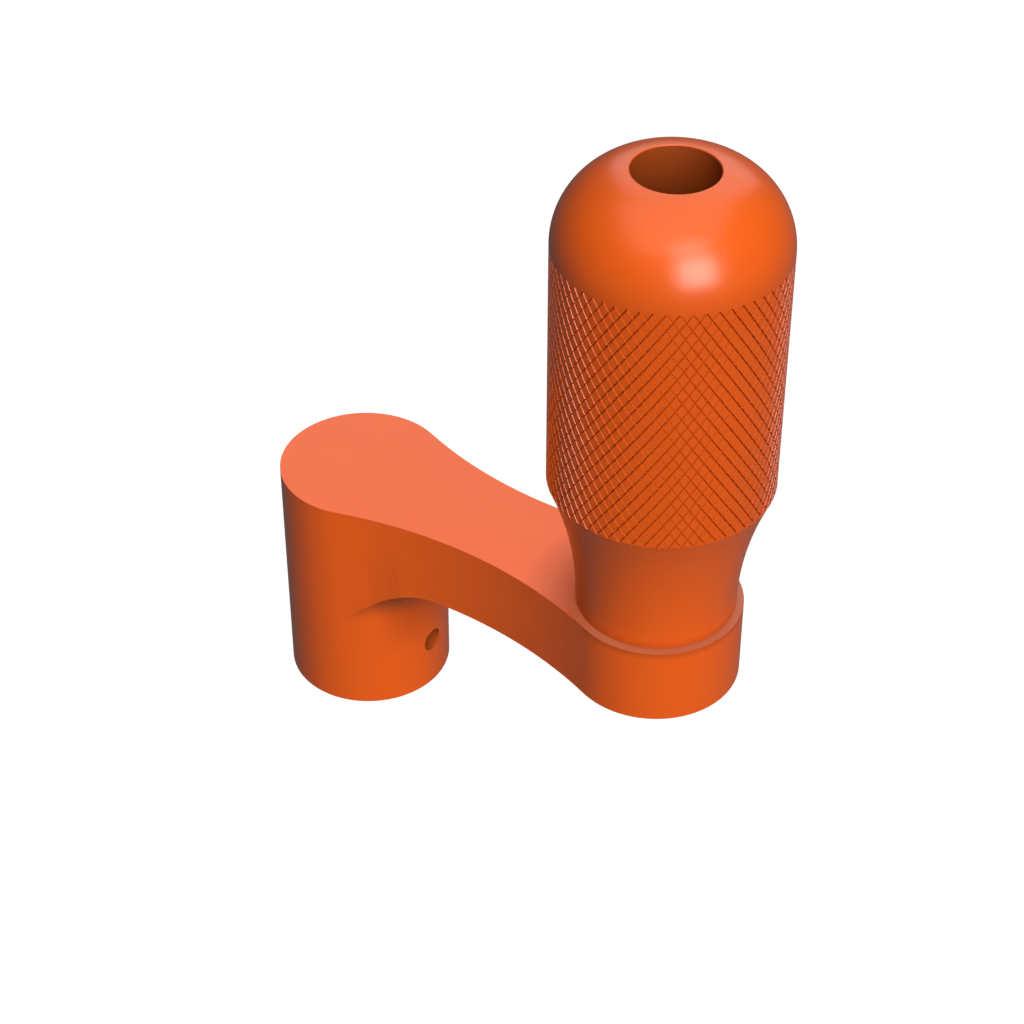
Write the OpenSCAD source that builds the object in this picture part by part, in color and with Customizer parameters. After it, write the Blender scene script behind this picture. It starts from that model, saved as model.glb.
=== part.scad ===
// Crank handle: a one-piece hub, arm and boss, with a knurled grip that revolves on a shoulder screw.
// The origin is the centre of the shaft bore's mouth, on the hub's lower face. The shaft's axis is Z,
// and the arm runs along +X from the hub to the grip.

/* [Hub] */
// Diameter of the hub, and of the boss at the other end of the arm
hub_d = 22; // [20:0.5:30]
// Height of the arm's flat top over the hub's lower face
hub_h = 33.25; // [33.25:0.25:50]
// Diameter of the shaft that the hub takes
shaft_d = 10; // [6:0.5:12]
// How far the shaft goes into the hub
shaft_depth = 22; // [14:0.5:26]
// Angle across the drill's point, at the end of the shaft bore
drill_angle = 118; // [100:1:140]
// Width of the chamfer at the bore's mouth
mouth_chamfer = 0.5; // [0.2:0.1:1]
// Height of the set screw's axis over the hub's lower face
set_screw_z = 7.3; // [4:0.1:12]
// Diameter of the set screw's hole
set_hole_d = 3.3; // [2.5:0.1:5]

/* [Arm] */
// Distance between the shaft's axis and the grip's axis
throw = 46.4; // [40:0.1:80]
// Thickness of the arm
arm_t = 10.8; // [10:0.1:16]
// Radius of the hollow arc down each side of the arm
side_arc_r = 58.6; // [45:0.1:90]
// Radius of the fillet between the hub and the arm's underside
fillet_r = 7.8; // [3:0.1:9]

/* [Grip] */
// Diameter of the grip at its foot
foot_d = 20.1; // [18:0.1:22]
// Width of the edge break round the foot
foot_break = 0.1; // [0.1:0.05:0.5]
// Height of the flared neck, from the foot to the knurl
neck_h = 19.25; // [14:0.05:30]
// Diameter of the knurled barrel
barrel_d = 27.8; // [24:0.1:34]
// Length of the knurled barrel
barrel_h = 32.75; // [28:0.25:60]
// Radius of the round shoulder over the knurl
dome_r = 9.9; // [6:0.1:10]
// Diameter of the hole down the grip's top, which the screw's head lies in
counterbore_d = 10.2; // [10.2:0.1:14]
// Diameter of the bore that holds the two bushes
bush_bore_d = 8; // [7.5:0.1:9]

/* [Knurl] */
// Number of grooves of each hand round the barrel
knurl_starts = 60; // [30:1:60]
// Number of rows of diamonds along the barrel
knurl_rows = 15; // [8:1:15]
// Depth of the grooves between the diamonds
knurl_depth = 0.35; // [0.15:0.05:0.5]

/* [Shoulder screw] */
// Diameter of the plain shoulder, which the bushes run on
axle_d = 6.5; // [6:0.1:7]
// Length of the plain shoulder, from the arm's top to the screw's head
axle_h = 40; // [34:0.5:50]
// Diameter of the thread in the boss
thread_d = 5; // [4:0.5:6]
// Length of the thread in the boss
thread_h = 9.75; // [6:0.25:10]
// Diameter of the screw's head
head_d = 10; // [9:0.1:10]
// Height of the screw's head
head_h = 4.5; // [3.5:0.1:6]
// Width of the head's hexagon socket, across its flats
head_hex = 3; // [2.5:0.1:4]
// Depth of the head's hexagon socket
head_socket_h = 2.4; // [1.5:0.1:3]
// Width of the chamfers on the screw's head and on the end of its thread
screw_chamfer = 0.5; // [0.2:0.1:0.8]

/* [Bushes] */
// Length of each bush, with its flange
bush_h = 10; // [6:0.5:14]
// Thickness of each bush's flange
flange_t = 1; // [0.6:0.1:2]
// Diameter of the lower bush's flange
lower_flange_d = 13; // [11:0.5:16]

/* [Set screw] */
// Length of the set screw
set_screw_h = 4; // [3:0.25:5]
// Width of the set screw's hexagon socket, across its flats
set_screw_hex = 2; // [1.5:0.1:2]
// Depth of the set screw's hexagon socket
set_socket_h = 1.6; // [1:0.1:2]
// Width of the chamfers on the set screw's two ends
set_screw_chamfer = 0.4; // [0.2:0.1:0.6]
// How far the set screw's point stays out of the shaft bore
point_gap = 0.15; // [0.1:0.05:0.5]

/* [Fits] */
// Gap round the shoulder and over the flanges, where the grip turns
run_gap = 0.05; // [0.02:0.01:0.08]
// Gap between the grip's foot and the arm's top
foot_gap = 0.1; // [0.1:0.05:0.4]
// Gap round a piece that is held still in its hole
seat_gap = 0.02; // [0.01:0.01:0.04]

/* [Hidden] */
$fn = 96;

// How far a cutting shape runs past the face that it cuts
past = 1;

hub_r = hub_d / 2;
shaft_r = shaft_d / 2;
under_z = hub_h - arm_t;
drill_point_h = shaft_r / tan(drill_angle / 2);

// The side arcs touch the hub's and the boss's circles from outside
side_arc_y = sqrt(pow(hub_r + side_arc_r, 2) - pow(throw / 2, 2));
touch_y = hub_r * side_arc_y / (hub_r + side_arc_r);

// Levels of the grip, counted up from the arm's top
foot_r = foot_d / 2;
barrel_r = barrel_d / 2;
foot_z = hub_h + foot_gap;
knurl_z = foot_z + neck_h;
dome_z = knurl_z + barrel_h;
grip_top_z = dome_z + dome_r;

// The neck is one arc that leaves the foot upright and ends on the barrel's lower rim
neck_flare = barrel_r - foot_r;
neck_arc_r = (pow(neck_h, 2) + pow(neck_flare, 2)) / (2 * neck_flare);

// Levels of what the grip turns on
head_z = hub_h + axle_h;
counterbore_z = head_z - run_gap - flange_t;
lower_flange_z = hub_h + run_gap;
lower_seat_z = lower_flange_z + flange_t;

// The knurl is a band round a slimmer core, and its inner wall is sunk into that core
knurl_sink = 0.6;
valley_r = barrel_r - knurl_depth;
core_r = valley_r - knurl_sink / 2;
band_r = valley_r - knurl_sink;
// The diamonds' tips stay this far inside the smooth rims above and below them
tip_inset = 0.02;
tip_r = barrel_r - tip_inset;

// Plan of the arm, with its hub and boss ends
module arm_plan() {
  circle(r = hub_r);
  translate([throw, 0]) circle(r = hub_r);
  difference() {
    translate([0, -touch_y]) square([throw, 2 * touch_y]);
    for (side = [-1, 1])
      translate([throw / 2, side * side_arc_y]) circle(r = side_arc_r);
  }
}

// Ring that fills the corner between the hub and the arm's underside with a round fillet
module fillet_ring() {
  ring_r = hub_r + fillet_r;
  ring_z = under_z - fillet_r;
  rotate_extrude()
    difference() {
      translate([shaft_r + past, ring_z]) square([ring_r - shaft_r - past, fillet_r + past]);
      translate([ring_r, ring_z]) circle(r = fillet_r);
    }
}

// Blind bore for the shaft, with a drilled end and a chamfered mouth
module shaft_bore() {
  translate([0, 0, -past]) cylinder(r = shaft_r, h = shaft_depth + past);
  translate([0, 0, shaft_depth]) cylinder(r1 = shaft_r, r2 = 0, h = drill_point_h);
  mouth_r = shaft_r + mouth_chamfer;
  translate([0, 0, -past]) cylinder(r1 = mouth_r + past, r2 = shaft_r, h = mouth_chamfer + past);
}

module crank_arm() {
  color("orangered")
    difference() {
      union() {
        cylinder(r = hub_r, h = hub_h);
        translate([0, 0, under_z]) linear_extrude(arm_t) arm_plan();
        intersection() {
          fillet_ring();
          linear_extrude(hub_h) arm_plan();
        }
      }
      shaft_bore();
      translate([0, 0, set_screw_z]) rotate([0, 90, 0]) cylinder(d = set_hole_d, h = hub_d);
      translate([throw, 0, under_z - past]) cylinder(d = thread_d, h = arm_t + 2 * past);
    }
}

// Half outline of the grip, with the knurl's place left as a shallow channel
module grip_outline() {
  translate([0, foot_z])
    difference() {
      square([barrel_r, neck_h]);
      translate([foot_r + neck_arc_r, 0]) circle(r = neck_arc_r, $fn = 360);
      translate([foot_r - foot_break, 0]) rotate(-45) square([2 * foot_break, foot_break]);
    }
  translate([0, knurl_z - past]) square([core_r, barrel_h + 2 * past]);
  translate([0, dome_z]) square([barrel_r - dome_r, dome_r]);
  translate([barrel_r - dome_r, dome_z])
    intersection() {
      circle(r = dome_r);
      square(dome_r);
    }
}

// One ring of the knurl's outer wall: tips and valleys by turns, half a diamond on from the ring below
function knurl_ring(row) = [
  for (i = [0 : 2 * knurl_starts - 1])
    let (r = (i + row) % 2 == 0 ? valley_r : tip_r, a = 180 * i / knurl_starts)
      [r * cos(a), r * sin(a), barrel_h * row / (2 * knurl_rows)]
];

// Band of pointed diamonds between two crossing sets of helical grooves
module knurl_band() {
  steps = 2 * knurl_starts;
  rings = 2 * knurl_rows;
  outer = [for (row = [0 : rings]) each knurl_ring(row)];
  inner = [
    for (end = [0, barrel_h], i = [0 : steps - 1])
      [band_r * cos(360 * i / steps), band_r * sin(360 * i / steps), end]
  ];
  low_in = len(outer);
  top_in = low_in + steps;
  top_out = rings * steps;
  diamonds = [
    for (row = [0 : rings - 1], i = [0 : steps - 1])
      let (j = (i + 1) % steps, a = row * steps + i, b = row * steps + j)
        each (i + row) % 2 == 0
          ? [[a, b + steps, b], [a, a + steps, b + steps]]
          : [[a, a + steps, b], [b, a + steps, b + steps]]
  ];
  walls = [
    for (i = [0 : steps - 1])
      let (j = (i + 1) % steps)
        each [
          [i, j, low_in + j, low_in + i],
          [top_out + j, top_out + i, top_in + i, top_in + j],
          [low_in + i, low_in + j, top_in + j, top_in + i]
        ]
  ];
  polyhedron(points = concat(outer, inner), faces = concat(diamonds, walls));
}

module grip() {
  color("orangered")
    translate([throw, 0, 0]) {
      difference() {
        rotate_extrude() grip_outline();
        translate([0, 0, counterbore_z]) cylinder(d = counterbore_d, h = grip_top_z - counterbore_z + past);
        translate([0, 0, foot_z - past]) cylinder(d = bush_bore_d, h = axle_h + past);
        translate([0, 0, foot_z - past])
          cylinder(d = lower_flange_d + 2 * seat_gap, h = lower_seat_z - foot_z + past);
      }
      translate([0, 0, knurl_z]) knurl_band();
    }
}

// Hexagon socket sunk into a face at height z, with the drilled cone at its foot
module hex_socket(across_flats, depth, z) {
  corner_r = across_flats / sqrt(3);
  translate([0, 0, z - depth]) cylinder(r = corner_r, h = depth + past, $fn = 6);
  translate([0, 0, z - depth - across_flats / 4])
    cylinder(r1 = 0, r2 = across_flats / 2, h = across_flats / 4);
}

// Solid bar with both end edges broken, from the origin up
module chamfered_bar(r, h, low_chamfer, top_chamfer) {
  rotate_extrude()
    polygon([
      [0, 0], [r - low_chamfer, 0], [r, low_chamfer],
      [r, h - top_chamfer], [r - top_chamfer, h], [0, h]
    ]);
}

module shoulder_screw() {
  thread_r = thread_d / 2 - seat_gap;
  color("silver")
    translate([throw, 0, 0])
      difference() {
        union() {
          translate([0, 0, hub_h - thread_h])
            chamfered_bar(thread_r, thread_h + past, screw_chamfer, 0);
          translate([0, 0, hub_h]) cylinder(d = axle_d, h = axle_h + past);
          translate([0, 0, head_z]) chamfered_bar(head_d / 2, head_h, 0, screw_chamfer);
        }
        hex_socket(head_hex, head_socket_h, head_z + head_h);
      }
}

// Flanged plain bush with its flange's outer face at height 0 and its sleeve along +Z
module bush(flange_d) {
  difference() {
    union() {
      cylinder(d = flange_d, h = flange_t);
      cylinder(d = bush_bore_d - 2 * seat_gap, h = bush_h);
    }
    translate([0, 0, -past]) cylinder(d = axle_d + 2 * run_gap, h = bush_h + 2 * past);
  }
}

module upper_bush() {
  color("burlywood")
    translate([throw, 0, head_z - run_gap])
      mirror([0, 0, 1]) bush(counterbore_d - 2 * seat_gap);
}

module lower_bush() {
  color("burlywood")
    translate([throw, 0, lower_flange_z]) bush(lower_flange_d);
}

module set_screw() {
  color("dimgray")
    translate([shaft_r + point_gap, 0, set_screw_z])
      rotate([0, 90, 0])
        difference() {
          chamfered_bar(set_hole_d / 2 - seat_gap, set_screw_h, set_screw_chamfer, set_screw_chamfer);
          hex_socket(set_screw_hex, set_socket_h, set_screw_h);
        }
}

crank_arm();
grip();
shoulder_screw();
upper_bush();
lower_bush();
set_screw();
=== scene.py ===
import math

import bmesh
import bpy
from mathutils import Matrix, Vector


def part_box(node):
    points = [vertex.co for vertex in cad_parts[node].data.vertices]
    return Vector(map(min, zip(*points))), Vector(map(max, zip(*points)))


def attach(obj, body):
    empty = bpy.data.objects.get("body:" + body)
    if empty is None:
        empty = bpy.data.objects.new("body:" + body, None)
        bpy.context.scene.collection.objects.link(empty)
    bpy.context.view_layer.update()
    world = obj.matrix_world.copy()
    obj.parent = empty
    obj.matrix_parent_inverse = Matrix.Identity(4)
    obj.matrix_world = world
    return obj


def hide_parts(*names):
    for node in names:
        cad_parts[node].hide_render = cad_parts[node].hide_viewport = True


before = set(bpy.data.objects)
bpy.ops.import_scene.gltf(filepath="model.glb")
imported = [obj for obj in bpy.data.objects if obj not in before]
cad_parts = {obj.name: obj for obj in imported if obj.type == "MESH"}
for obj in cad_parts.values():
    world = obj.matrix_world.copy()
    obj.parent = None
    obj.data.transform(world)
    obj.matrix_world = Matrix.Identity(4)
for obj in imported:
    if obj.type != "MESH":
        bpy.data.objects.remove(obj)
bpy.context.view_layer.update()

MM = 0.001
FULL_TURN = 2 * math.pi
UP = (0, 0, 1)
MERGE = 0.002 * MM
SHARP_ANGLE = math.radians(18)
BREAK_SEGMENTS = 2

# Where the frame puts each node, and what follows from it
crank_low, crank_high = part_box("crank_arm")
grip_low, grip_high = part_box("grip")
screw_low, screw_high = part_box("shoulder_screw")
upper_low, upper_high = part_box("upper_bush")
lower_low, lower_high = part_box("lower_bush")
point_low, point_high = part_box("set_screw")
HUB_R = -crank_low.x
ARM_TOP = crank_high.z
THROW = (grip_low.x + grip_high.x) / 2
BARREL_R = (grip_high.x - grip_low.x) / 2
FOOT_Z = grip_low.z
GRIP_TOP = grip_high.z
GRIP_AXIS = Vector((THROW, 0, 0))
ON_GRIP_AXIS = Matrix.Translation(GRIP_AXIS)
MIDDLE = Vector((THROW / 2, 0, GRIP_TOP / 2))

# The crank: the small break on its edges, its cross hole and its shaft bore
CRANK_EDGE = 0.1 * MM
CRANK_EDGE_ANGLE = math.radians(38)
CRANK_FLAT_ANGLE = math.radians(0.5)
CROSS_HOLE_R = 1.65 * MM
SHAFT_R = 5 * MM

# The grip's outline, as it is turned
FOOT_R = 10.05 * MM
FOOT_BREAK = 0.1 * MM
NECK_H = 19.25 * MM
BARREL_H = 32.75 * MM
DOME_R = 9.9 * MM
COUNTERBORE_R = 5.1 * MM
COUNTERBORE_Z = 72.2 * MM
BUSH_BORE_R = 4.0 * MM
FLANGE_POCKET_R = 6.52 * MM
FLANGE_POCKET_Z = 34.3 * MM
RIM_BREAK = 0.12 * MM
KNURL_Z = FOOT_Z + NECK_H
DOME_Z = KNURL_Z + BARREL_H
NECK_STEPS = 16
DOME_STEPS = 28

# The knurl: two crossing sets of fine, steep vee grooves, with flat lands between them
KNURL_STARTS = 60
KNURL_ROWS = 15
GROOVE_W = 0.2 * MM
GROOVE_DEPTH = 0.215 * MM
LAND_CUTS = 2

# The shoulder screw, from its head down to the end of its thread
HEAD_R = (screw_high.x - screw_low.x) / 2
HEAD_H = 4.5 * MM
HEAD_BREAK = 0.5 * MM
HEAD_SOCKET = 3.0 * MM
HEAD_SOCKET_H = 2.4 * MM
SHOULDER_R = 3.25 * MM
AXLE_THREAD_R = 2.46 * MM
AXLE_PITCH = 0.8 * MM
THREAD_RELIEF = 1.0 * MM

# The set screw, which lies along X in the hub
SET_SCREW_R = (point_high.z - point_low.z) / 2
SET_SCREW_H = point_high.x - point_low.x
SET_SCREW_Z = (point_high.z + point_low.z) / 2
SET_SCREW_BREAK = 0.4 * MM
SET_SOCKET = 2.0 * MM
SET_SOCKET_H = 1.6 * MM
SET_PITCH = 0.7 * MM

# What both screws share: their breaks, the cuts in a socket's sides and a thread's steps in a turn
EDGE_BREAK = 0.2 * MM
SOCKET_BREAK = 0.05 * MM
SOCKET_CUTS = 7
THREAD_SINK = 0.05 * MM
THREAD_STEPS = 24
# The depth of a socket's drilled point, as a share of its width across the flats
SOCKET_POINT = 0.25
# A thread's depth, its crest's width and half the gap between its turns, as shares of its pitch
THREAD_DEPTH = 0.6
THREAD_CREST = 0.125
THREAD_GAP = 0.02

# Both bushes
BUSH_H = upper_high.z - upper_low.z
SLEEVE_R = 3.98 * MM
BUSH_RUN_R = 3.3 * MM
FLANGE_T = 1.0 * MM
BUSH_BREAK = 0.15 * MM
BUSH_EDGE_ANGLE = math.radians(60)
BUSH_TURN_STEPS = 64


def close_shell(bm):
    """Merges the doubles of one closed shell, and turns its faces outwards."""
    bmesh.ops.remove_doubles(bm, verts=bm.verts, dist=MERGE)
    bmesh.ops.recalc_face_normals(bm, faces=bm.faces)
    if bm.calc_volume(signed=True) < 0:
        bmesh.ops.reverse_faces(bm, faces=bm.faces)


def new_piece(name, bm, place, body, material, replaced):
    """Makes a finished mesh, moved to its place, a piece that rides on a body and stands for a node."""
    bmesh.ops.transform(bm, matrix=place, verts=bm.verts)
    for edge in bm.edges:
        edge.smooth = edge.calc_face_angle(0) < SHARP_ANGLE
    for face in bm.faces:
        face.smooth = True
    mesh = bpy.data.meshes.new(name)
    bm.to_mesh(mesh)
    bm.free()
    mesh.materials.append(material)
    piece = bpy.data.objects.new(name, mesh)
    bpy.context.scene.collection.objects.link(piece)
    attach(piece, body)
    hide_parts(replaced)


def arc(centre, radius, start, end, steps):
    """Points (radius, height) along an arc, with its angles in degrees from the outward direction."""
    turns = [math.radians(start + (end - start) * i / steps) for i in range(steps + 1)]
    return [(centre[0] + radius * math.cos(turn), centre[1] + radius * math.sin(turn)) for turn in turns]


def border(bm, level):
    """The open edges of a shell that lie at one height."""
    open_edges = [edge for edge in bm.edges if edge.is_boundary]
    return [edge for edge in open_edges if all(abs(vert.co.z - level) < MERGE for vert in edge.verts)]


def extrude_ring(bm, ring):
    """Extrudes a ring of edges where it lies, and returns the new vertices and the new ring."""
    made = bmesh.ops.extrude_edge_only(bm, edges=ring)["geom"]
    fresh = {part for part in made if isinstance(part, bmesh.types.BMVert)}
    edges = [part for part in made if isinstance(part, bmesh.types.BMEdge)]
    return list(fresh), [edge for edge in edges if all(vert in fresh for vert in edge.verts)]


def carry_ring(bm, ring, *stations):
    """Extrudes a ring round the Z axis through (radius, height) stations, and returns the last ring."""
    for radius, height in stations:
        fresh, ring = extrude_ring(bm, ring)
        for vert in fresh:
            out = Vector((vert.co.x, vert.co.y, 0)).normalized() * radius
            vert.co = (out.x, out.y, height)
    return ring


def grip_knurl(bm):
    """The barrel's knurled wall: one diamond, repeated, trimmed and wrapped round the axis."""
    half_w = math.pi * BARREL_R / KNURL_STARTS
    half_h = BARREL_H / KNURL_ROWS / 2
    corners = ((-half_w, 0), (0, half_h), (half_w, 0), (0, -half_h))
    land = bm.faces.new([bm.verts.new((x + half_w, -GROOVE_DEPTH, KNURL_Z + z)) for x, z in corners])
    land.normal_update()
    rims = set(land.edges)
    bmesh.ops.inset_individual(
        bm, faces=[land], thickness=GROOVE_W / 2, depth=GROOVE_DEPTH, use_even_offset=True
    )
    rims.update(land.edges)
    bmesh.ops.subdivide_edges(bm, edges=list(rims), cuts=LAND_CUTS, use_grid_fill=True)
    diamond = bm.verts[:] + bm.edges[:] + bm.faces[:]
    for row in range(1, 2 * KNURL_ROWS + 1):
        copy = bmesh.ops.duplicate(bm, geom=diamond)["geom"]
        copied = [part for part in copy if isinstance(part, bmesh.types.BMVert)]
        bmesh.ops.translate(bm, verts=copied, vec=(half_w if row % 2 else 0, 0, row * half_h))
    for level, way in ((KNURL_Z, -1), (DOME_Z, 1)):
        column = bm.verts[:] + bm.edges[:] + bm.faces[:]
        bmesh.ops.bisect_plane(
            bm, geom=column, dist=MERGE, plane_co=(0, 0, level), plane_no=(0, 0, way), clear_outer=True
        )
    for vert in bm.verts:
        turn, out = vert.co.x / BARREL_R, BARREL_R + vert.co.y
        vert.co = (out * math.cos(turn), out * math.sin(turn), vert.co.z)
    copies = KNURL_STARTS - 1
    bmesh.ops.spin(
        bm, geom=bm.verts[:] + bm.edges[:] + bm.faces[:], cent=(0, 0, 0), axis=UP,
        angle=FULL_TURN * copies / KNURL_STARTS, steps=copies, use_duplicate=True,
    )
    bmesh.ops.remove_doubles(bm, verts=bm.verts, dist=MERGE)


def grip_outline():
    """The grip's section from under the knurl, round the foot, up the bore and over the dome."""
    flare = BARREL_R - FOOT_R
    neck_r = (NECK_H ** 2 + flare ** 2) / (2 * flare)
    reach = math.degrees(math.asin(NECK_H / neck_r))
    neck = arc((FOOT_R + neck_r, FOOT_Z), neck_r, 180 - reach, 180, NECK_STEPS)[1:-1]
    foot = [
        (FOOT_R, FOOT_Z + FOOT_BREAK), (FOOT_R - FOOT_BREAK, FOOT_Z), (FLANGE_POCKET_R, FOOT_Z),
        (FLANGE_POCKET_R, FLANGE_POCKET_Z), (BUSH_BORE_R, FLANGE_POCKET_Z),
    ]
    bore = [(BUSH_BORE_R, COUNTERBORE_Z), (COUNTERBORE_R, COUNTERBORE_Z)]
    dome_centre = (BARREL_R - DOME_R, DOME_Z)
    lean = math.degrees(math.acos((COUNTERBORE_R + RIM_BREAK - dome_centre[0]) / DOME_R))
    dome = arc(dome_centre, DOME_R, lean, 0, DOME_STEPS)[:-1]
    rim = [(COUNTERBORE_R, dome[0][1] - RIM_BREAK)]
    return neck + foot + bore + rim + dome


def grip(material):
    """The grip: one closed turned shell, with its knurl cut into the barrel."""
    bm = bmesh.new()
    grip_knurl(bm)
    low = carry_ring(bm, border(bm, KNURL_Z), (BARREL_R, KNURL_Z), *grip_outline())
    top = carry_ring(bm, border(bm, DOME_Z), (BARREL_R, DOME_Z))
    bmesh.ops.bridge_loops(bm, edges=low + top)
    close_shell(bm)
    new_piece("grip_body", bm, ON_GRIP_AXIS, "handle", material, "grip")


def break_edges(bm, edges, size):
    """Takes the sharpness off some edges with a small round break."""
    bmesh.ops.bevel(
        bm, geom=edges, affect="EDGES", offset=size, segments=BREAK_SEGMENTS, profile=0.5, material=-1,
        clamp_overlap=True,
    )


def crank(material):
    """The hub, arm and boss: the solid's own mesh, merged, with a small break on its sharp edges."""
    bm = bmesh.new()
    bm.from_mesh(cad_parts["crank_arm"].data)
    close_shell(bm)
    bmesh.ops.dissolve_limit(bm, angle_limit=CRANK_FLAT_ANGLE, verts=bm.verts, edges=bm.edges)
    sharp = [edge for edge in bm.edges if edge.calc_face_angle(0) > CRANK_EDGE_ANGLE]
    break_edges(bm, sharp, CRANK_EDGE)
    new_piece("crank_body", bm, Matrix(), "crank", material, "crank_arm")


def socket_mouth(bm, flats, depth, top):
    """A hexagon socket sunk from a height, with its drilled point; returns the ring at its mouth."""
    corner_r = flats / math.sqrt(3)
    floor_z = top - depth
    below_top = Matrix.Translation((0, 0, top - EDGE_BREAK))
    bmesh.ops.create_circle(bm, segments=6, radius=corner_r, matrix=below_top)
    bmesh.ops.subdivide_edges(bm, edges=bm.edges[:], cuts=SOCKET_CUTS)
    rim = bm.edges[:]
    fresh, floor_ring = extrude_ring(bm, rim)
    bmesh.ops.translate(bm, verts=fresh, vec=(0, 0, EDGE_BREAK - depth))
    carry_ring(bm, floor_ring, (flats / 2, floor_z), (0, floor_z - flats * SOCKET_POINT))
    return carry_ring(bm, rim, (corner_r + SOCKET_BREAK, top))


def thread_ridge(bm, crest_r, pitch, low, high):
    """Adds a thread's ridge between two heights, with its foot sunk a little into the screw's core."""
    ridge = bmesh.new()
    root_r = crest_r - THREAD_DEPTH * pitch - THREAD_SINK
    flank = (1 - THREAD_CREST) / 2 * pitch
    gap = THREAD_GAP * pitch
    section = ((root_r, gap), (crest_r, flank), (crest_r, pitch - flank), (root_r, pitch - gap))
    blade = ridge.faces.new([ridge.verts.new((r, 0, low + z)) for r, z in section])
    steps = round(((high - low) / pitch - 1) * THREAD_STEPS)
    bmesh.ops.spin(
        ridge, geom=[blade] + blade.edges[:] + blade.verts[:], cent=(0, 0, 0), axis=UP,
        dvec=(0, 0, pitch / THREAD_STEPS), angle=FULL_TURN * steps / THREAD_STEPS, steps=steps,
    )
    close_shell(ridge)
    carrier = bpy.data.meshes.new("thread_ridge")
    ridge.to_mesh(carrier)
    ridge.free()
    bm.from_mesh(carrier)
    bpy.data.meshes.remove(carrier)


def shoulder_screw(material):
    """The grip's axle: socket head, ground shoulder, relief and thread."""
    bm = bmesh.new()
    top, end = screw_high.z, screw_low.z
    under_head = top - HEAD_H
    core_r = AXLE_THREAD_R - THREAD_DEPTH * AXLE_PITCH
    rim = socket_mouth(bm, HEAD_SOCKET, HEAD_SOCKET_H, top)
    carry_ring(
        bm, rim, (HEAD_R - HEAD_BREAK, top), (HEAD_R, top - HEAD_BREAK),
        (HEAD_R, under_head + EDGE_BREAK), (HEAD_R - EDGE_BREAK, under_head),
        (SHOULDER_R, under_head), (SHOULDER_R, ARM_TOP + EDGE_BREAK), (SHOULDER_R - EDGE_BREAK, ARM_TOP),
        (core_r, ARM_TOP), (core_r, end + EDGE_BREAK), (core_r - EDGE_BREAK, end), (0, end),
    )
    close_shell(bm)
    thread_ridge(bm, AXLE_THREAD_R, AXLE_PITCH, end + EDGE_BREAK, ARM_TOP - THREAD_RELIEF)
    new_piece("axle_screw", bm, ON_GRIP_AXIS, "crank", material, "shoulder_screw")


def set_screw(material):
    """The headless screw in the hub, threaded all the way, with its socket facing outwards."""
    bm = bmesh.new()
    core_r = SET_SCREW_R - THREAD_DEPTH * SET_PITCH
    rim = socket_mouth(bm, SET_SOCKET, SET_SOCKET_H, SET_SCREW_H)
    carry_ring(
        bm, rim, (SET_SCREW_R - SET_SCREW_BREAK, SET_SCREW_H), (core_r, SET_SCREW_H - SET_SCREW_BREAK),
        (core_r, SET_SCREW_BREAK), (core_r - EDGE_BREAK, 0), (0, 0),
    )
    close_shell(bm)
    thread_ridge(bm, SET_SCREW_R, SET_PITCH, EDGE_BREAK, SET_SCREW_H - EDGE_BREAK)
    place = Matrix.Translation((point_low.x, 0, SET_SCREW_Z)) @ Matrix.Rotation(math.pi / 2, 4, "Y")
    new_piece("clamp_screw", bm, place, "crank", material, "set_screw")


def bush(name, flange_low, flange_r, way, material, replaced):
    """A flanged plain bush on the grip's axis, with its sleeve up or down from its flange."""
    bm = bmesh.new()
    section = (
        (BUSH_RUN_R, 0), (flange_r, 0), (flange_r, FLANGE_T), (SLEEVE_R, FLANGE_T),
        (SLEEVE_R, BUSH_H), (BUSH_RUN_R, BUSH_H),
    )
    verts = [bm.verts.new((r, 0, way * z)) for r, z in section]
    outline = [bm.edges.new(pair) for pair in zip(verts, verts[1:] + verts[:1])]
    bmesh.ops.spin(
        bm, geom=verts + outline, cent=(0, 0, 0), axis=UP, angle=FULL_TURN, steps=BUSH_TURN_STEPS,
        use_merge=True,
    )
    close_shell(bm)
    sharp = [edge for edge in bm.edges if edge.calc_face_angle(0) > BUSH_EDGE_ANGLE]
    break_edges(bm, [edge for edge in sharp if edge.is_convex], BUSH_BREAK)
    place = ON_GRIP_AXIS @ Matrix.Translation((0, 0, flange_low))
    new_piece(name, bm, place, "handle", material, replaced)


def feed(tree, sockets, values):
    """Feeds each socket from another node's socket, or sets it to a plain value."""
    for socket, value in zip(sockets, values):
        if isinstance(value, bpy.types.NodeSocket):
            tree.links.new(value, socket)
        else:
            socket.default_value = value


def inputs_of(node, *names):
    """A node's inputs by their names."""
    return [node.inputs[name] for name in names]


def calc(tree, operation, *values):
    """Adds a Math node, fed by sockets or set to numbers, and returns what it puts out."""
    node = tree.nodes.new("ShaderNodeMath")
    node.operation = operation
    feed(tree, node.inputs, values)
    return node.outputs[0]


def vector_calc(tree, operation, *values):
    """Adds a Vector Math node, fed by sockets or set to vectors."""
    node = tree.nodes.new("ShaderNodeVectorMath")
    node.operation = operation
    feed(tree, node.inputs, values)
    return node


def ramp(tree, value, start, end, low=0.0, high=1.0):
    """Goes from low to high while a value goes from start to end, and stays level outside that range."""
    node = tree.nodes.new("ShaderNodeMapRange")
    feed(tree, node.inputs, (value, start, end, low, high))
    return node.outputs[0]


def noise(tree, place, scale, detail):
    """Soft noise from 0 to 1, about 0.5."""
    node = tree.nodes.new("ShaderNodeTexNoise")
    feed(tree, inputs_of(node, "Vector", "Scale", "Detail"), (place, scale, detail))
    return node.outputs["Fac"]


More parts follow.
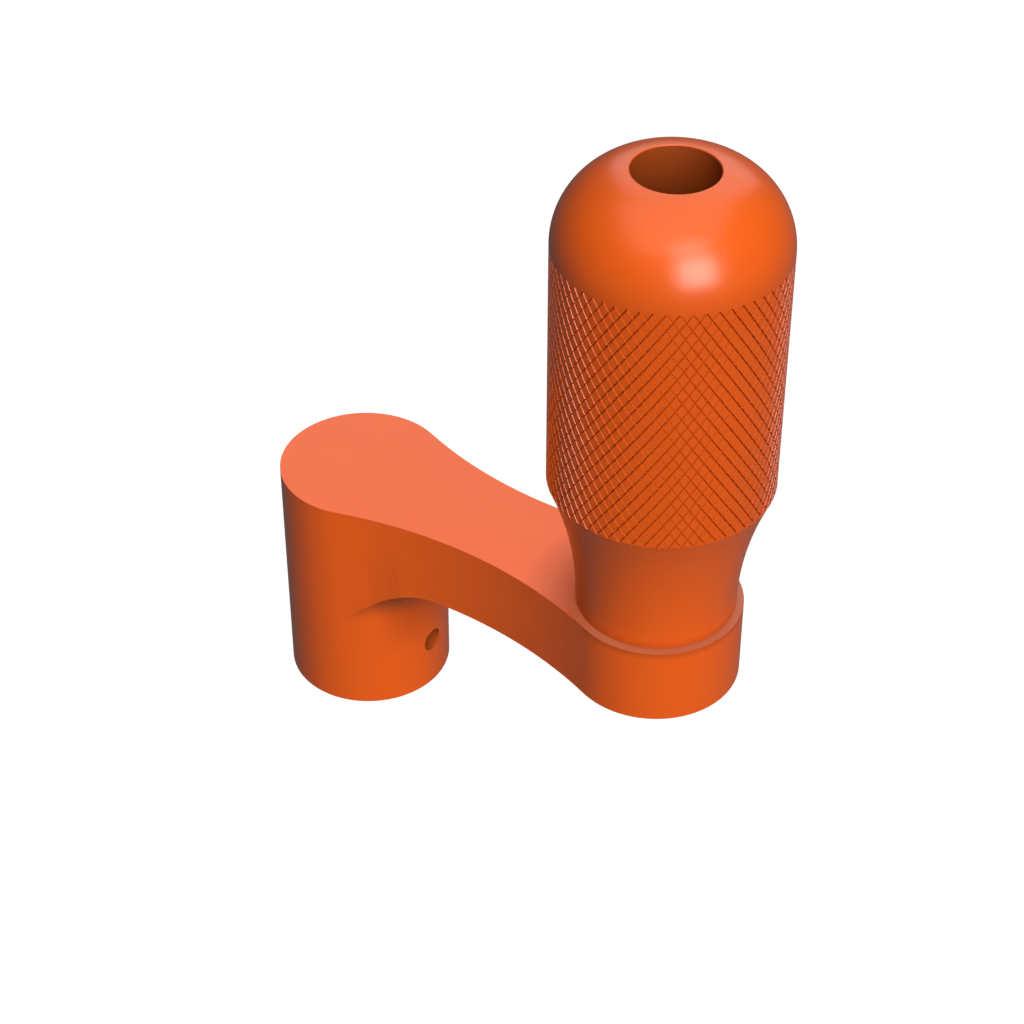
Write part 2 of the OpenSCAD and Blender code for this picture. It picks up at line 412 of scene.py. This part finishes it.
def new_group(name, inputs, outputs):
    """A shader node group with float sockets and a vector, Place; returns its tree and inner sockets."""
    tree = bpy.data.node_groups.new(name, "ShaderNodeTree")
    tree.interface.new_socket(name="Place", in_out="INPUT", socket_type="NodeSocketVector")
    for label in inputs:
        tree.interface.new_socket(name=label, in_out="INPUT", socket_type="NodeSocketFloat")
    for label in outputs:
        tree.interface.new_socket(name=label, in_out="OUTPUT", socket_type="NodeSocketFloat")
    given = tree.nodes.new("NodeGroupInput").outputs
    wanted = tree.nodes.new("NodeGroupOutput").inputs
    return tree, given, wanted


# The noise in the shared effects: each detail, and how many grains of the skin a soft cloud spans
GRAIN_DETAIL = 2.0
CLOUD_DETAIL = 4.0
CLOUD_GRAINS = 18.0
MARK_DETAIL = 3.0


def fine_surface_group():
    """Soft mottling and a fine skin, which paint, moulded plastic and steel have in common."""
    tree, given, wanted = new_group(
        "fine_surface", ("Grain Size", "Mottle", "Roughness", "Roughness Spread", "Bump Height"),
        ("Tone", "Roughness", "Height"),
    )
    grain_scale = calc(tree, "DIVIDE", 1.0, given["Grain Size"])
    cloud_scale = calc(tree, "DIVIDE", grain_scale, CLOUD_GRAINS)
    grain = calc(tree, "SUBTRACT", noise(tree, given["Place"], grain_scale, GRAIN_DETAIL), 0.5)
    cloud = calc(tree, "SUBTRACT", noise(tree, given["Place"], cloud_scale, CLOUD_DETAIL), 0.5)
    roughness = calc(tree, "MULTIPLY_ADD", cloud, given["Roughness Spread"], given["Roughness"])
    tree.links.new(calc(tree, "MULTIPLY_ADD", cloud, given["Mottle"], 1.0), wanted["Tone"])
    tree.links.new(roughness, wanted["Roughness"])
    tree.links.new(calc(tree, "MULTIPLY", grain, given["Bump Height"]), wanted["Height"])
    return tree


def turning_marks_group():
    """Fine rings that a lathe leaves round the Z axis of Place, on ends and on walls alike."""
    tree, given, wanted = new_group(
        "turning_marks", ("Pitch", "Tone Depth", "Bump Height"), ("Tone", "Height"),
    )
    flat = vector_calc(tree, "MULTIPLY", given["Place"], (1, 1, 0))
    radius = vector_calc(tree, "LENGTH", flat.outputs["Vector"]).outputs["Value"]
    parts = tree.nodes.new("ShaderNodeSeparateXYZ")
    tree.links.new(given["Place"], parts.inputs[0])
    along = calc(tree, "DIVIDE", calc(tree, "ADD", radius, parts.outputs["Z"]), given["Pitch"])
    lines = tree.nodes.new("ShaderNodeTexNoise")
    lines.noise_dimensions = "1D"
    feed(tree, inputs_of(lines, "W", "Scale", "Detail"), (along, 1.0, MARK_DETAIL))
    mark = calc(tree, "SUBTRACT", lines.outputs["Fac"], 0.5)
    tree.links.new(calc(tree, "MULTIPLY_ADD", mark, given["Tone Depth"], 1.0), wanted["Tone"])
    tree.links.new(calc(tree, "MULTIPLY", mark, given["Bump Height"]), wanted["Height"])
    return tree


def new_material(name, metallic):
    """A material with a Principled shader, and the object's own coordinates to paint by."""
    material = bpy.data.materials.new(name)
    material.use_nodes = True
    tree = material.node_tree
    shader = tree.nodes["Principled BSDF"]
    shader.inputs["Metallic"].default_value = metallic
    place = tree.nodes.new("ShaderNodeTexCoord").outputs["Object"]
    return material, tree, shader, place


def use_group(tree, group, place, **values):
    """Places a group in a material with its own values, and returns its outputs."""
    node = tree.nodes.new("ShaderNodeGroup")
    node.node_tree = group
    tree.links.new(place, node.inputs["Place"])
    for label, value in values.items():
        node.inputs[label.replace("_", " ")].default_value = value
    return node.outputs


def mix(tree, mask, first, second):
    """The first colour where a mask is 0, and the second where it is 1."""
    node = tree.nodes.new("ShaderNodeMix")
    node.data_type = "VECTOR"
    factor, vector_a, vector_b = node.inputs[0], node.inputs[4], node.inputs[5]
    feed(tree, (factor, vector_a, vector_b), (mask, first, second))
    return node.outputs[1]


def tint(tree, color, tone):
    """A plain colour times a tone."""
    node = vector_calc(tree, "SCALE", color)
    tree.links.new(tone, node.inputs["Scale"])
    return node.outputs["Vector"]


def bump(tree, shader, height):
    """Feeds the shader's normal from a height in metres."""
    node = tree.nodes.new("ShaderNodeBump")
    feed(tree, inputs_of(node, "Strength", "Distance", "Height"), (1.0, 1.0, height))
    tree.links.new(node.outputs["Normal"], shader.inputs["Normal"])


# The coat's colour; then painted light up the neck, and painted shade on the knurl's lands, darker in its
# grooves, and on the dome
COAT_COLOR = (0.86, 0.115, 0.006)
NECK_TONE = 1.14
NECK_TONE_Z = 37 * MM
LAND_TONE = 0.86
GROOVE_TONE = 0.5
DOME_TONE = 0.88
# The painted shade in the holes: a browner colour, and a tone which darkens with depth
HOLE_COLOR = (0.86, 0.148, 0.023)
HOLE_MOUTH_TONE = 0.47
HOLE_DEEP_TONE = 0.1
HOLE_SHADE_H = 8 * MM
CROSS_MOUTH_TONE = 0.52
CROSS_DEEP_TONE = 0.2
# The painted shade and sheen on the ring of the boss's top in front of the grip; then the painted shade
# round the grip's foot: on the arm, the boss and the foot
RING_SHADE_SHEEN_COLOR = (0.45, 0.117, 0.049)
RING_SHADE_SHEEN_R = 10.97 * MM
RING_SHADE_SHEEN_START_X = THROW - 9 * MM
RING_SHADE_SHEEN_END_X = THROW - 2 * MM
FOOT_SHADE_TONE = 0.42
FOOT_SHADE_START_R = 10 * MM
FOOT_SHADE_END_R = 17 * MM
FOOT_SHADE_ROUGHNESS = 0.3
BOSS_TONE = 0.72
BOSS_TONE_H = 1.1 * MM
FOOT_TONE = 0.66
FOOT_TONE_H = 1.3 * MM
# The painted shade on the hub and on the round fillet under the arm, by height and along X
FILLET_R = 7.8 * MM
FILLET_RING_R = HUB_R + FILLET_R
FILLET_RING_Z = 14.65 * MM
CORNER_TONE = 0.5
CORNER_LOW_Z = 8 * MM
CORNER_HIGH_Z = 17.5 * MM
CORNER_RISE_X = (7.5 * MM, 10.3 * MM)
CORNER_FALL_X = (12 * MM, 18 * MM)
# The play at a mask's border, so that it takes in the whole of its surface and nothing beside it
MASK_EDGE = 0.03 * MM
# The screws' and the bushes' own colours
BRIGHT_STEEL_COLOR = (0.55, 0.55, 0.56)
BLACK_STEEL_COLOR = (0.05, 0.05, 0.055)
PLASTIC_COLOR = (0.62, 0.58, 0.48)


def distance_from(tree, place, point, across):
    """The distance from an axis through a point; across is 0 along the axis and 1 square to it."""
    offset = vector_calc(tree, "SUBTRACT", place, point).outputs["Vector"]
    flat = vector_calc(tree, "MULTIPLY", offset, across).outputs["Vector"]
    return vector_calc(tree, "LENGTH", flat).outputs["Value"]


def where(tree, mask, tone):
    """A tone where a mask is 1, and 1 elsewhere."""
    return calc(tree, "MULTIPLY_ADD", mask, calc(tree, "SUBTRACT", tone, 1.0), 1.0)


def product(tree, first, *others):
    """Values multiplied together."""
    for other in others:
        first = calc(tree, "MULTIPLY", first, other)
    return first


def grip_painted_tone(tree, height, grip_r):
    """The painted light and shade up the grip's outside: lighter up the neck, darker on the knurl's
    lands, darkest in its grooves, and darker on the dome.
    """
    neck = ramp(tree, height, NECK_TONE_Z, KNURL_Z, 1.0, NECK_TONE)
    land_or_groove = ramp(tree, grip_r, BARREL_R - GROOVE_DEPTH, BARREL_R, GROOVE_TONE, LAND_TONE)
    over_neck = calc(tree, "GREATER_THAN", height, KNURL_Z - MASK_EDGE)
    over_knurl = calc(tree, "GREATER_THAN", height, DOME_Z - MASK_EDGE)
    under_knurl = calc(tree, "SUBTRACT", 1.0, over_neck)
    knurled = calc(tree, "SUBTRACT", over_neck, over_knurl)
    return product(
        tree, where(tree, under_knurl, neck), where(tree, knurled, land_or_groove),
        where(tree, over_knurl, DOME_TONE),
    )


def hole_mask_and_painted_shade(tree, height, grip_r, hub_r, cross_r):
    """Where the grip's hole and the hub's cross hole are, and the painted shade that darkens the coat
    there, more deeply down each hole.
    """
    in_grip_hole = product(
        tree, calc(tree, "LESS_THAN", grip_r, COUNTERBORE_R + MASK_EDGE),
        calc(tree, "GREATER_THAN", height, KNURL_Z),
    )
    grip_hole_shade = ramp(tree, height, GRIP_TOP - HOLE_SHADE_H, GRIP_TOP, HOLE_DEEP_TONE, HOLE_MOUTH_TONE)
    in_cross_hole = product(
        tree, calc(tree, "LESS_THAN", cross_r, CROSS_HOLE_R + MASK_EDGE),
        calc(tree, "LESS_THAN", hub_r, HUB_R - MASK_EDGE),
        calc(tree, "GREATER_THAN", hub_r, SHAFT_R + MASK_EDGE),
    )
    cross_hole_shade = ramp(tree, hub_r, point_high.x, HUB_R, CROSS_DEEP_TONE, CROSS_MOUTH_TONE)
    tone = product(tree, where(tree, in_grip_hole, grip_hole_shade), where(tree, in_cross_hole, cross_hole_shade))
    return calc(tree, "ADD", in_grip_hole, in_cross_hole), tone


def corner_shade_tone(tree, height, hub_r, along):
    """The painted shade on the hub and the fillet in the corner under the arm."""
    across = calc(tree, "SUBTRACT", FILLET_RING_R, hub_r)
    above = calc(tree, "MAXIMUM", calc(tree, "SUBTRACT", height, FILLET_RING_Z), 0.0)
    apart = calc(tree, "SQRT", calc(tree, "MULTIPLY_ADD", across, across, product(tree, above, above)))
    near = product(
        tree, calc(tree, "LESS_THAN", apart, FILLET_R + MASK_EDGE), ramp(tree, along, *CORNER_RISE_X),
        ramp(tree, along, *CORNER_FALL_X, 1.0, 0.0),
    )
    return where(tree, near, ramp(tree, height, CORNER_LOW_Z, CORNER_HIGH_Z, 1.0, CORNER_TONE))


def foot_shade_tone(tree, height, grip_r, on_arm):
    """The painted shade in the corner between the arm, the boss and the grip's foot, on all three."""
    near = ramp(tree, grip_r, FOOT_SHADE_START_R, FOOT_SHADE_END_R, FOOT_SHADE_TONE, 1.0)
    on_boss = product(
        tree, calc(tree, "LESS_THAN", grip_r, HUB_R + MASK_EDGE),
        calc(tree, "LESS_THAN", height, ARM_TOP - MASK_EDGE),
    )
    high = ramp(tree, height, ARM_TOP - BOSS_TONE_H, ARM_TOP, 1.0, BOSS_TONE)
    on_grip = calc(tree, "GREATER_THAN", height, (ARM_TOP + FOOT_Z) / 2)
    low = ramp(tree, height, FOOT_Z, FOOT_Z + FOOT_TONE_H, FOOT_TONE, 1.0)
    return product(tree, where(tree, on_arm, near), where(tree, on_boss, high), where(tree, on_grip, low))


def orange_coat(fine_surface):
    """Satin orange coat on the crank and the grip, with painted light and shade on the grip, in the
    holes, on the boss's ring, round the grip's foot and under the arm.
    """
    material, tree, shader, place = new_material("orange_coat", 0.0)
    parts = tree.nodes.new("ShaderNodeSeparateXYZ")
    tree.links.new(place, parts.inputs[0])
    height = parts.outputs["Z"]
    grip_r = distance_from(tree, place, GRIP_AXIS, (1, 1, 0))
    hub_r = distance_from(tree, place, (0, 0, 0), (1, 1, 0))
    cross_r = distance_from(tree, place, (0, 0, SET_SCREW_Z), (0, 1, 1))
    skin = use_group(
        tree, fine_surface, place, Grain_Size=0.5 * MM, Mottle=0.06, Roughness=0.29,
        Roughness_Spread=0.04, Bump_Height=0.0003 * MM,
    )
    on_arm = calc(tree, "COMPARE", height, ARM_TOP, MASK_EDGE)
    # The ring round the foot, on the boss's front, gets a painted shade and sheen: a darker, pinker
    # colour than the coat
    front = ramp(tree, parts.outputs["X"], RING_SHADE_SHEEN_START_X, RING_SHADE_SHEEN_END_X)
    ring_shade_sheen = product(tree, on_arm, calc(tree, "LESS_THAN", grip_r, RING_SHADE_SHEEN_R), front)
    in_hole, hole_shade = hole_mask_and_painted_shade(tree, height, grip_r, hub_r, cross_r)
    tone = product(
        tree, skin["Tone"], grip_painted_tone(tree, height, grip_r), hole_shade,
        foot_shade_tone(tree, height, grip_r, on_arm), corner_shade_tone(tree, height, hub_r, parts.outputs["X"]),
    )
    tinted = tint(tree, mix(tree, in_hole, COAT_COLOR, HOLE_COLOR), tone)
    tree.links.new(mix(tree, ring_shade_sheen, tinted, RING_SHADE_SHEEN_COLOR), shader.inputs["Base Color"])
    # The coat is rougher under the foot's painted shade, which dims its gloss there
    foot_shade_rough = product(tree, on_arm, ramp(tree, grip_r, FOOT_SHADE_START_R, FOOT_SHADE_END_R, FOOT_SHADE_ROUGHNESS, 0.0))
    tree.links.new(calc(tree, "ADD", skin["Roughness"], foot_shade_rough), shader.inputs["Roughness"])
    bump(tree, shader, skin["Height"])
    return material


def on_axis(tree, place, centre, rotation):
    """Coordinates whose Z axis is a piece's own axis."""
    node = tree.nodes.new("ShaderNodeMapping")
    node.vector_type = "TEXTURE"
    node.inputs["Location"].default_value = centre
    node.inputs["Rotation"].default_value = rotation
    tree.links.new(place, node.inputs["Vector"])
    return node.outputs["Vector"]


def turned_metal(name, fine_surface, turning_marks, color, roughness, centre, rotation):
    """Turned steel, bright or blacked, with its marks round the piece's own axis."""
    material, tree, shader, place = new_material(name, 1.0)
    skin = use_group(
        tree, fine_surface, place, Grain_Size=0.3 * MM, Mottle=0.15, Roughness=roughness,
        Roughness_Spread=0.1, Bump_Height=0.0008 * MM,
    )
    marks = use_group(
        tree, turning_marks, on_axis(tree, place, centre, rotation), Pitch=0.09 * MM, Tone_Depth=0.25,
        Bump_Height=0.004 * MM,
    )
    tone = calc(tree, "MULTIPLY", skin["Tone"], marks["Tone"])
    tree.links.new(tint(tree, color, tone), shader.inputs["Base Color"])
    tree.links.new(skin["Roughness"], shader.inputs["Roughness"])
    bump(tree, shader, calc(tree, "ADD", skin["Height"], marks["Height"]))
    return material


def bush_plastic(fine_surface):
    """Moulded bearing plastic, matte and slightly waxy."""
    material, tree, shader, place = new_material("bush_plastic", 0.0)
    skin = use_group(
        tree, fine_surface, place, Grain_Size=0.25 * MM, Mottle=0.12, Roughness=0.5,
        Roughness_Spread=0.15, Bump_Height=0.002 * MM,
    )
    tree.links.new(tint(tree, PLASTIC_COLOR, skin["Tone"]), shader.inputs["Base Color"])
    tree.links.new(skin["Roughness"], shader.inputs["Roughness"])
    bump(tree, shader, skin["Height"])
    return material


# The studio: the floor lies just under the hub's face, and looks white by its glow and not by its light
FLOOR_SIZE = 4
FLOOR_DROP = 0.02 * MM
FLOOR_COLOR = (0.07, 0.07, 0.07, 1)
FLOOR_ROUGHNESS = 0.9
WORLD_COLOR = (1, 1, 1, 1)
WORLD_LIGHT = 0.02
LAMP_DISTANCE = 3
WHITE_GLOW = 0.98
MIRRORED_WHITE = 0.1
# The camera, at the photograph's viewing angle, with its lens and sensor in millimetres
CAMERA_LENS = 89.35
CAMERA_SENSOR = 36
CAMERA_PLACE = (0.17041, -0.20546, 0.24209)
CAMERA_AZIMUTH = math.radians(35.405)
CAMERA_ELEVATION = math.radians(39.232)
CAMERA_NEAR = 0.01
CAMERA_FAR = 20


def softbox(name, azimuth, elevation, spread, radiance, mirrored=True, shadows=True):
    """A square lamp that looks at the middle of the object; spread is the angle that its side takes up.

    A mirrored lamp is only a shape in the gloss, and the others only light the colours.
    """
    side = 2 * LAMP_DISTANCE * math.tan(math.radians(spread) / 2)
    data = bpy.data.lights.new(name, "AREA")
    data.shape = "SQUARE"
    data.size = side
    data.energy = radiance * math.pi * side ** 2
    lamp = bpy.data.objects.new(name, data)
    turn, lift = math.radians(azimuth), math.radians(elevation)
    way = Vector((math.cos(turn) * math.cos(lift), math.sin(turn) * math.cos(lift), math.sin(lift)))
    lamp.location = MIDDLE + way * LAMP_DISTANCE
    lamp.rotation_euler = way.to_track_quat("Z", "Y").to_euler()
    data.use_shadow = shadows
    lamp.visible_glossy = mirrored
    lamp.visible_diffuse = not mirrored
    bpy.context.scene.collection.objects.link(lamp)


def white_for_the_eye(tree, surface, shader):
    """Adds a glow that the camera sees as white and gloss shows faintly, and that lights no colours."""
    path = tree.nodes.new("ShaderNodeLightPath").outputs
    seen = calc(tree, "ADD", path["Is Camera Ray"], path["Is Transmission Ray"])
    seen = calc(tree, "MULTIPLY_ADD", path["Is Glossy Ray"], MIRRORED_WHITE, seen)
    glow = tree.nodes.new("ShaderNodeEmission")
    tree.links.new(calc(tree, "MULTIPLY", seen, WHITE_GLOW), glow.inputs["Strength"])
    both = tree.nodes.new("ShaderNodeAddShader")
    tree.links.new(shader.outputs[0], both.inputs[0])
    tree.links.new(glow.outputs[0], both.inputs[1])
    tree.links.new(both.outputs[0], surface)


def studio_floor():
    """A pale floor, which keeps the object's shadow."""
    bm = bmesh.new()
    lowered = Matrix.Translation((0, 0, -FLOOR_DROP))
    bmesh.ops.create_grid(bm, x_segments=1, y_segments=1, size=FLOOR_SIZE, matrix=lowered)
    mesh = bpy.data.meshes.new("floor")
    bm.to_mesh(mesh)
    bm.free()
    material = bpy.data.materials.new("pale_floor")
    material.use_nodes = True
    tree = material.node_tree
    shader = tree.nodes["Principled BSDF"]
    shader.inputs["Base Color"].default_value = FLOOR_COLOR
    shader.inputs["Roughness"].default_value = FLOOR_ROUGHNESS
    shader.inputs["Specular IOR Level"].default_value = 0
    white_for_the_eye(tree, tree.nodes["Material Output"].inputs["Surface"], shader)
    mesh.materials.append(material)
    floor = bpy.data.objects.new("floor", mesh)
    bpy.context.scene.collection.objects.link(floor)


def studio_world():
    """A dim even light from all round, behind a white background."""
    world = bpy.data.worlds.new("studio")
    world.use_nodes = True
    tree = world.node_tree
    background = tree.nodes["Background"]
    background.inputs["Color"].default_value = WORLD_COLOR
    background.inputs["Strength"].default_value = WORLD_LIGHT
    white_for_the_eye(tree, tree.nodes["World Output"].inputs["Surface"], background)
    bpy.context.scene.world = world


def camera():
    """The camera, which looks down at the object from its front and right."""
    data = bpy.data.cameras.new("photo_camera")
    data.lens = CAMERA_LENS
    data.sensor_width = CAMERA_SENSOR
    data.clip_start = CAMERA_NEAR
    data.clip_end = CAMERA_FAR
    holder = bpy.data.objects.new("photo_camera", data)
    holder.location = CAMERA_PLACE
    holder.rotation_euler = (math.pi / 2 - CAMERA_ELEVATION, 0, CAMERA_AZIMUTH)
    bpy.context.scene.collection.objects.link(holder)
    bpy.context.scene.camera = holder


fine_surface = fine_surface_group()
turning_marks = turning_marks_group()
coat = orange_coat(fine_surface)
bright_steel = turned_metal(
    "screw_steel", fine_surface, turning_marks, color=BRIGHT_STEEL_COLOR, roughness=0.32,
    centre=GRIP_AXIS, rotation=(0, 0, 0),
)
black_steel = turned_metal(
    "black_steel", fine_surface, turning_marks, color=BLACK_STEEL_COLOR, roughness=0.42,
    centre=(0, 0, SET_SCREW_Z), rotation=(0, math.pi / 2, 0),
)
plastic = bush_plastic(fine_surface)

crank(coat)
grip(coat)
shoulder_screw(bright_steel)
set_screw(black_steel)
bush("upper_running_bush", upper_high.z, (upper_high.x - upper_low.x) / 2, -1, plastic, "upper_bush")
bush("lower_running_bush", lower_low.z, (lower_high.x - lower_low.x) / 2, 1, plastic, "lower_bush")

studio_floor()
studio_world()
# Two lamps light the colours, and four panels show in the gloss
softbox("key_softbox", azimuth=-36, elevation=44, spread=30, radiance=14.0, mirrored=False, shadows=False)
softbox("sky_softbox", azimuth=-40, elevation=80, spread=80, radiance=0.36, mirrored=False)
softbox("front_panel", azimuth=-34, elevation=20, spread=32, radiance=8.5)
softbox("upper_front_panel", azimuth=-40, elevation=53, spread=22, radiance=1.6)
softbox("overhead_panel", azimuth=-60, elevation=80, spread=70, radiance=1.35)
softbox("back_panel", azimuth=114, elevation=38, spread=50, radiance=1.35)
camera()
bpy.context.scene.view_settings.view_transform = "Standard"
